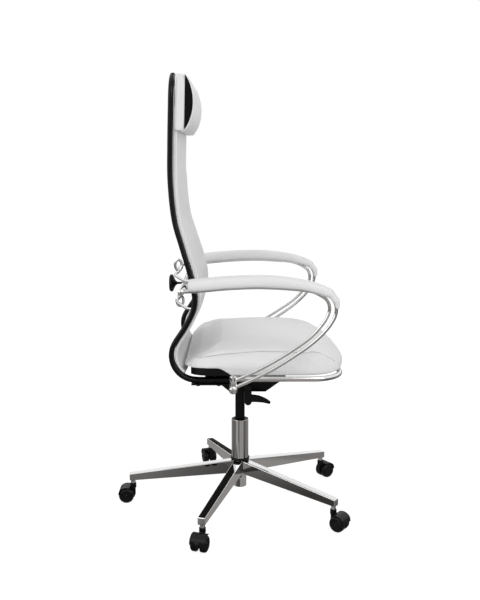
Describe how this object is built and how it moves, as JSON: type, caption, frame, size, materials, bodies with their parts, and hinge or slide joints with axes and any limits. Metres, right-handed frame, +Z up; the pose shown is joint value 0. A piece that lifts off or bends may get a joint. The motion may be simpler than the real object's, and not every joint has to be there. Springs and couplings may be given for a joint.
{
  "type": "swivel office chair",
  "caption": "High-back swivel office chair with an S-shaped padded back, lumbar support, headrest, twin-rod armrests, gas lift, tilt mechanism and a chromed castor base.",
  "frame": {"origin": "on the floor, on the axis of the lift column", "axes": "+Z up, the chair faces -Y, the sitter's right hand is on -X"},
  "size_m": [0.7054, 0.6708, 1.2275],
  "materials": {
    "chrome": "mirror chrome on steel tube and cast legs",
    "steel": "plain turned steel",
    "black_metal": "satin black powder coat",
    "black_plastic": "fine-grained black moulding",
    "rubber": "plain black rubber",
    "white_leather": "soft white upholstery with a fine grain",
    "black_leather": "black upholstery inset"
  },
  "bodies": {
    "base": {"star_base": "chrome", "castor_back_stem": "steel", "castor_rear_right_stem": "steel", "castor_front_right_stem": "steel", "castor_front_left_stem": "steel", "castor_rear_left_stem": "steel", "hub_ring": "black_plastic", "stand_tube": "steel", "lift_cover": "chrome", "cover_bush": "black_plastic", "thrust_bearing": "steel", "retaining_clip": "steel"},
    "castor_back": {"castor_back_hood": "black_plastic"},
    "castor_back_wheel_left": {"castor_back_wheel_left": "black_plastic"},
    "castor_back_wheel_right": {"castor_back_wheel_right": "black_plastic"},
    "castor_rear_right": {"castor_rear_right_hood": "black_plastic"},
    "castor_rear_right_wheel_left": {"castor_rear_right_wheel_left": "black_plastic"},
    "castor_rear_right_wheel_right": {"castor_rear_right_wheel_right": "black_plastic"},
    "castor_front_right": {"castor_front_right_hood": "black_plastic"},
    "castor_front_right_wheel_left": {"castor_front_right_wheel_left": "black_plastic"},
    "castor_front_right_wheel_right": {"castor_front_right_wheel_right": "black_plastic"},
    "castor_front_left": {"castor_front_left_hood": "black_plastic"},
    "castor_front_left_wheel_left": {"castor_front_left_wheel_left": "black_plastic"},
    "castor_front_left_wheel_right": {"castor_front_left_wheel_right": "black_plastic"},
    "castor_rear_left": {"castor_rear_left_hood": "black_plastic"},
    "castor_rear_left_wheel_left": {"castor_rear_left_wheel_left": "black_plastic"},
    "castor_rear_left_wheel_right": {"castor_rear_left_wheel_right": "black_plastic"},
    "piston": {"piston_rod": "steel"},
    "lift": {"gas_cylinder": "black_metal", "mechanism_housing": "black_metal", "tilt_axle": "steel", "tilt_spring": "rubber"},
    "valve": {"valve_button": "steel"},
    "lever": {"height_lever": "black_plastic", "lever_shaft": "steel"},
    "seat": {"seat_carrier": "black_metal", "seat_pan": "black_plastic", "seat_cushion": "white_leather", "seat_tube": "chrome", "back_rail_right": "black_metal", "back_rail_left": "black_metal", "back_top_bar": "black_metal", "back_upholstery": "white_leather", "arm_bracket_right": "chrome", "arm_bracket_left": "chrome", "arm_rod_outer_right": "chrome", "arm_rod_outer_left": "chrome", "arm_rod_inner_right": "chrome", "arm_rod_inner_left": "chrome", "arm_pad_right": "white_leather", "arm_pad_left": "white_leather", "arm_cross_tube": "chrome", "lumbar_wire_upper": "chrome", "lumbar_wire_lower": "chrome"},
    "lumbar": {"lumbar_pad": "black_plastic"},
    "lumbar_screw": {"lumbar_knob": "black_plastic"},
    "headrest": {"headrest_cushion": "white_leather", "headrest_end_right": "black_leather", "headrest_end_left": "black_leather"}
  },
  "joints": [
    {"name": "castor_back_swivel", "type": "hinge", "parent": "base", "child": "castor_back", "pos_m": [0, 0.318, 0.0508], "axis": [0, 0, 1], "continuous": true},
    {"name": "castor_back_wheel_left_spin", "type": "hinge", "parent": "castor_back", "child": "castor_back_wheel_left", "pos_m": [0, 0.3375, 0.0223], "axis": [-1, 0, 0], "continuous": true},
    {"name": "castor_back_wheel_right_spin", "type": "hinge", "parent": "castor_back", "child": "castor_back_wheel_right", "pos_m": [0, 0.3375, 0.0223], "axis": [-1, 0, 0], "continuous": true},
    {"name": "castor_rear_right_swivel", "type": "hinge", "parent": "base", "child": "castor_rear_right", "pos_m": [-0.30244, 0.09827, 0.0508], "axis": [0, 0, 1], "continuous": true},
    {"name": "castor_rear_right_wheel_left_spin", "type": "hinge", "parent": "castor_rear_right", "child": "castor_rear_right_wheel_left", "pos_m": [-0.32098, 0.10429, 0.0223], "axis": [-0.309, -0.9511, 0], "continuous": true},
    {"name": "castor_rear_right_wheel_right_spin", "type": "hinge", "parent": "castor_rear_right", "child": "castor_rear_right_wheel_right", "pos_m": [-0.32098, 0.10429, 0.0223], "axis": [-0.309, -0.9511, 0], "continuous": true},
    {"name": "castor_front_right_swivel", "type": "hinge", "parent": "base", "child": "castor_front_right", "pos_m": [-0.18692, -0.25727, 0.0508], "axis": [0, 0, 1], "continuous": true},
    {"name": "castor_front_right_wheel_left_spin", "type": "hinge", "parent": "castor_front_right", "child": "castor_front_right_wheel_left", "pos_m": [-0.19838, -0.27304, 0.0223], "axis": [0.809, -0.5878, 0], "continuous": true},
    {"name": "castor_front_right_wheel_right_spin", "type": "hinge", "parent": "castor_front_right", "child": "castor_front_right_wheel_right", "pos_m": [-0.19838, -0.27304, 0.0223], "axis": [0.809, -0.5878, 0], "continuous": true},
    {"name": "castor_front_left_swivel", "type": "hinge", "parent": "base", "child": "castor_front_left", "pos_m": [0.18692, -0.25727, 0.0508], "axis": [0, 0, 1], "continuous": true},
    {"name": "castor_front_left_wheel_left_spin", "type": "hinge", "parent": "castor_front_left", "child": "castor_front_left_wheel_left", "pos_m": [0.19838, -0.27304, 0.0223], "axis": [0.809, 0.5878, 0], "continuous": true},
    {"name": "castor_front_left_wheel_right_spin", "type": "hinge", "parent": "castor_front_left", "child": "castor_front_left_wheel_right", "pos_m": [0.19838, -0.27304, 0.0223], "axis": [0.809, 0.5878, 0], "continuous": true},
    {"name": "castor_rear_left_swivel", "type": "hinge", "parent": "base", "child": "castor_rear_left", "pos_m": [0.30244, 0.09827, 0.0508], "axis": [0, 0, 1], "continuous": true},
    {"name": "castor_rear_left_wheel_left_spin", "type": "hinge", "parent": "castor_rear_left", "child": "castor_rear_left_wheel_left", "pos_m": [0.32098, 0.10429, 0.0223], "axis": [-0.309, 0.9511, 0], "continuous": true},
    {"name": "castor_rear_left_wheel_right_spin", "type": "hinge", "parent": "castor_rear_left", "child": "castor_rear_left_wheel_right", "pos_m": [0.32098, 0.10429, 0.0223], "axis": [-0.309, 0.9511, 0], "continuous": true},
    {"name": "seat_swivel", "type": "hinge", "parent": "base", "child": "piston", "pos_m": [0, 0, 0.0658], "axis": [0, 0, 1], "continuous": true},
    {"name": "seat_height", "type": "slide", "parent": "piston", "child": "lift", "axis": [0, 0, 1], "range_m": [-0.085, 0.035]},
    {"name": "valve_press", "type": "slide", "parent": "lift", "child": "valve", "axis": [0, 0, -1], "range_m": [0, 0.0038], "stiffness_N_per_m": 300, "springref_m": -0.001},
    {"name": "lever_lift", "type": "hinge", "parent": "lift", "child": "lever", "pos_m": [0, -0.0225, 0.3833], "axis": [-1, 0, 0], "range_deg": [0, 8]},
    {"name": "seat_tilt", "type": "hinge", "parent": "lift", "child": "seat", "pos_m": [0, -0.055, 0.4038], "axis": [-1, 0, 0], "range_deg": [0, 12], "stiffness_Nm_per_rad": 80, "springref_deg": -17.19},
    {"name": "lumbar_advance", "type": "slide", "parent": "seat", "child": "lumbar", "axis": [0, -1, 0], "range_m": [0, 0.008]},
    {"name": "lumbar_knob_turn", "type": "hinge", "parent": "lumbar", "child": "lumbar_screw", "pos_m": [0, 0.19, 0.6588], "axis": [0, -1, 0], "range_deg": [0, 720]},
    {"name": "headrest_height", "type": "slide", "parent": "seat", "child": "headrest", "axis": [0, -0.0296, 0.9996], "range_m": [-0.06, 0]}
  ],
  "couplings": [
    {"joint": "lever_lift", "follows": "valve_press", "rad_per_m": 36.7},
    {"joint": "lumbar_knob_turn", "follows": "lumbar_advance", "rad_per_m": 1570.8}
  ]
}
